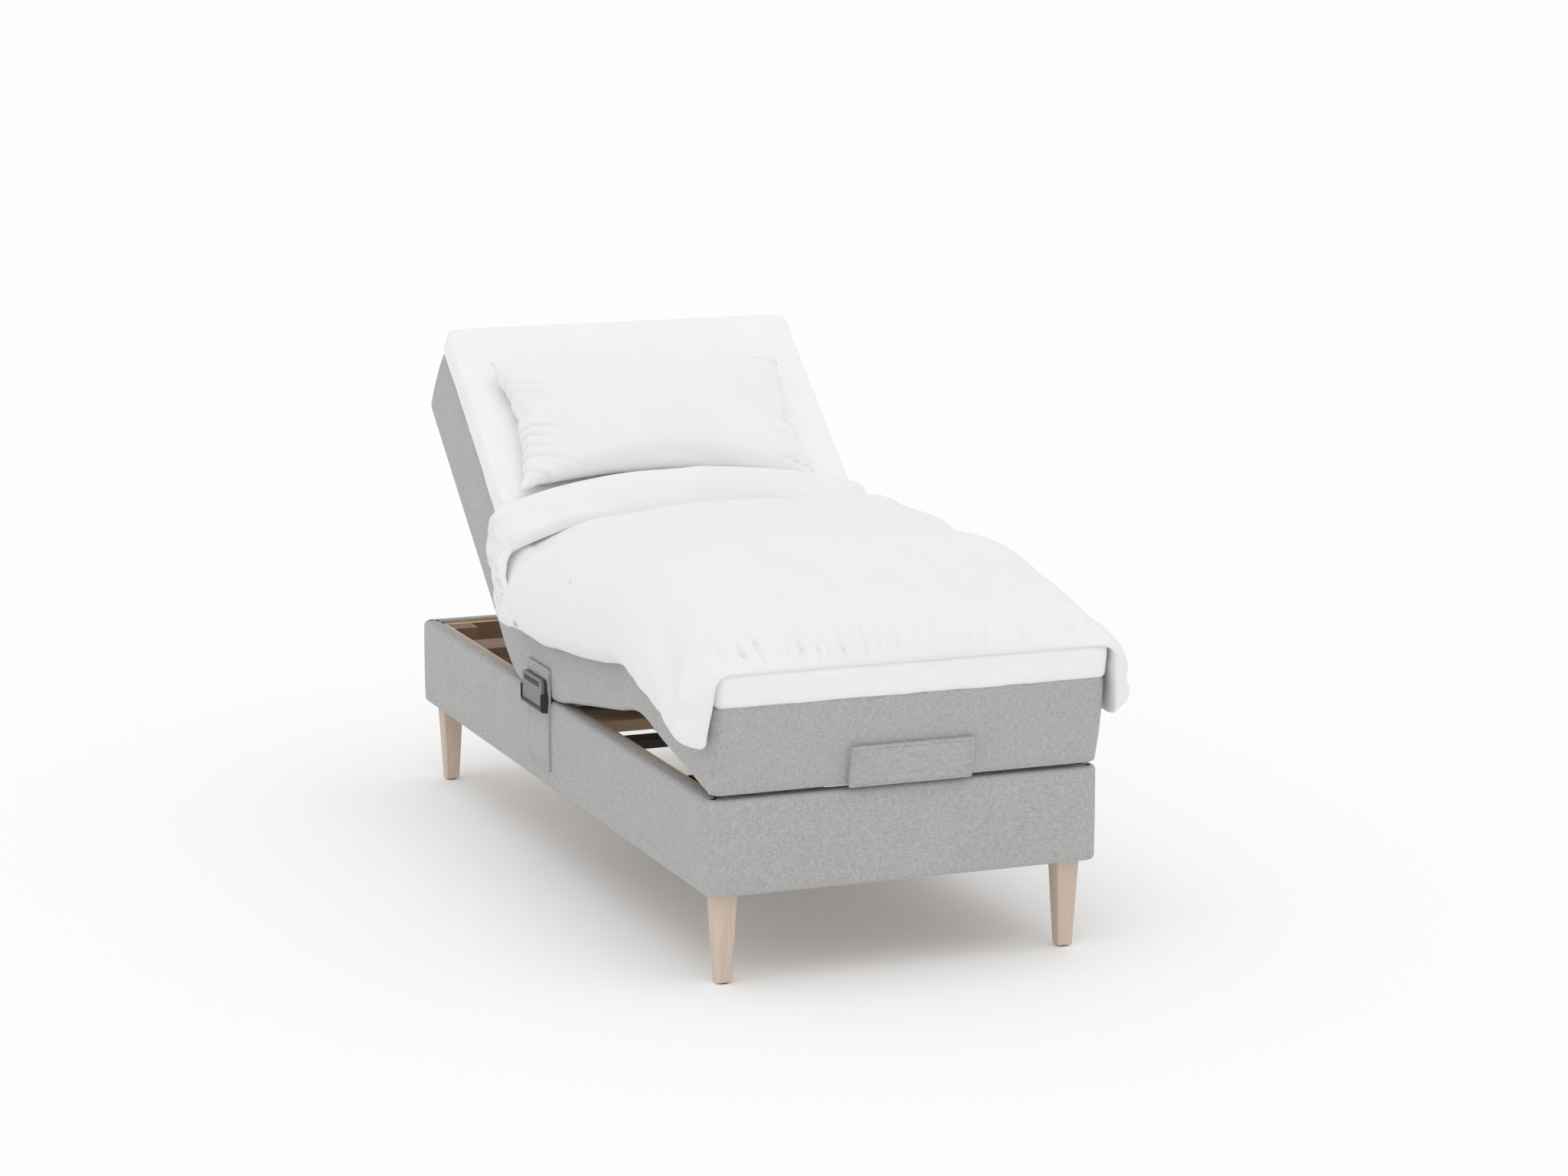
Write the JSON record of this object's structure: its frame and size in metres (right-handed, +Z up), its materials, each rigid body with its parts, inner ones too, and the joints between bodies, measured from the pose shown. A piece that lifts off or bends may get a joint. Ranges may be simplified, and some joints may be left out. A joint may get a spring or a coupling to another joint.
{
  "type": "adjustable bed",
  "caption": "Single adjustable bed: upholstered box base on tapered legs, hinged mattress with lifting back and leg rest, topper, duvet, pillow and a handset in a side holder.",
  "frame": {"origin": "on the floor, under the middle of the whole bed including the mattress overhang at the foot", "axes": "+X across the bed to the right seen from the foot, +Y towards the head end, +Z up; the handset hangs on the -X side"},
  "size_m": [1.048, 2.166, 1.1915],
  "materials": {
    "grey_cover": "woven melange upholstery",
    "white_knit": "soft knitted topper cover",
    "white_bedding": "smooth cotton bed linen",
    "plywood": "birch plywood with a black underside felt",
    "pine": "planed pine",
    "brown_board": "brown faced board with a light sawn edge",
    "oak": "light oiled oak",
    "felt": "felt glide",
    "zinc": "bright zinc plated",
    "black_steel": "black powder coat",
    "black_plastic": "fine textured moulding",
    "grey_plastic": "satin moulding"
  },
  "bodies": {
    "base": {"base_cover": "grey_cover", "corner_blocks": "pine", "crossbeams": "pine", "drive_housing": "black_plastic", "drive_inlet": "black_plastic", "drive_lid": "black_plastic", "duvet_seat": "white_bedding", "end_boards": "pine", "handset_holder": "black_plastic", "headboard_inserts": "zinc", "hip_leaf_seat": "zinc", "inner_end_boards": "pine", "inner_side_boards": "pine", "leg_bolts": "zinc", "leg_glides": "felt", "leg_plates": "zinc", "legs": "oak", "lid_screws": "zinc", "mattress_seat": "grey_cover", "panel_seat": "plywood", "plate_screws": "zinc", "seat_bearers": "pine", "shaft_brackets": "black_steel", "side_boards": "pine", "side_flap": "grey_cover", "steel_crossbar": "black_steel", "thigh_leaf_seat": "zinc", "thigh_pins": "zinc", "topper_seat": "white_knit"},
    "back": {"back_runners": "black_plastic", "duvet_back": "white_bedding", "hip_leaf_back": "zinc", "hip_pins": "zinc", "mattress_back": "grey_cover", "panel_back": "plywood", "pillow": "white_bedding", "topper_back": "white_knit"},
    "thigh": {"duvet_thigh": "white_bedding", "knee_leaf_thigh": "zinc", "knee_pins": "zinc", "mattress_thigh": "grey_cover", "panel_thigh": "plywood", "thigh_leaf_thigh": "zinc", "topper_thigh": "white_knit"},
    "calf": {"duvet_calf": "white_bedding", "foot_patch": "grey_cover", "knee_leaf_calf": "zinc", "mattress_calf": "grey_cover", "panel_calf": "plywood", "topper_calf": "white_knit"},
    "back_lift": {"back_lift_shaft": "black_steel"},
    "thigh_lift": {"thigh_lift_shaft": "black_steel"},
    "handset": {"handset_front": "grey_plastic", "handset_back": "black_plastic"},
    "key_1": {"key_1": "black_plastic"},
    "key_2": {"key_2": "black_plastic"},
    "key_3": {"key_3": "black_plastic"},
    "key_4": {"key_4": "black_plastic"},
    "key_5": {"key_5": "black_plastic"},
    "key_6": {"key_6": "black_plastic"}
  },
  "joints": [
    {"name": "back_lift_up", "type": "hinge", "parent": "base", "child": "back", "pos_m": [0, 0.239, 0.586], "axis": [1, 0, 0], "range_deg": [-39.5, 20.5]},
    {"name": "thigh_lift_up", "type": "hinge", "parent": "base", "child": "thigh", "pos_m": [0, 0.025, 0.586], "axis": [-1, 0, 0], "range_deg": [-9, 21]},
    {"name": "knee_bend", "type": "hinge", "parent": "thigh", "child": "calf", "pos_m": [0, -0.58198, 0.52521], "axis": [1, 0, 0], "range_deg": [-20, 46.67]},
    {"name": "back_shaft_turn", "type": "hinge", "parent": "base", "child": "back_lift", "pos_m": [0, 0.405, 0.3], "axis": [1, 0, 0], "range_deg": [-39.61, 20.56]},
    {"name": "thigh_shaft_turn", "type": "hinge", "parent": "base", "child": "thigh_lift", "pos_m": [0, -0.335, 0.28], "axis": [-1, 0, 0], "range_deg": [-19.42, 45.31]},
    {"name": "handset_out", "type": "slide", "parent": "base", "child": "handset", "axis": [0, 0, 1], "range_m": [0, 0.08]},
    {"name": "key_1_press", "type": "slide", "parent": "handset", "child": "key_1", "axis": [1, 0, 0], "range_m": [0, 0.001], "stiffness_N_per_m": 400},
    {"name": "key_2_press", "type": "slide", "parent": "handset", "child": "key_2", "axis": [1, 0, 0], "range_m": [0, 0.001], "stiffness_N_per_m": 400},
    {"name": "key_3_press", "type": "slide", "parent": "handset", "child": "key_3", "axis": [1, 0, 0], "range_m": [0, 0.001], "stiffness_N_per_m": 400},
    {"name": "key_4_press", "type": "slide", "parent": "handset", "child": "key_4", "axis": [1, 0, 0], "range_m": [0, 0.001], "stiffness_N_per_m": 400},
    {"name": "key_5_press", "type": "slide", "parent": "handset", "child": "key_5", "axis": [1, 0, 0], "range_m": [0, 0.001], "stiffness_N_per_m": 400},
    {"name": "key_6_press", "type": "slide", "parent": "handset", "child": "key_6", "axis": [1, 0, 0], "range_m": [0, 0.001], "stiffness_N_per_m": 400}
  ],
  "couplings": [
    {"joint": "knee_bend", "follows": "thigh_lift_up", "ratio": 2.2222},
    {"joint": "back_shaft_turn", "follows": "back_lift_up", "ratio": 1.0027},
    {"joint": "thigh_shaft_turn", "follows": "thigh_lift_up", "ratio": 2.1576}
  ]
}
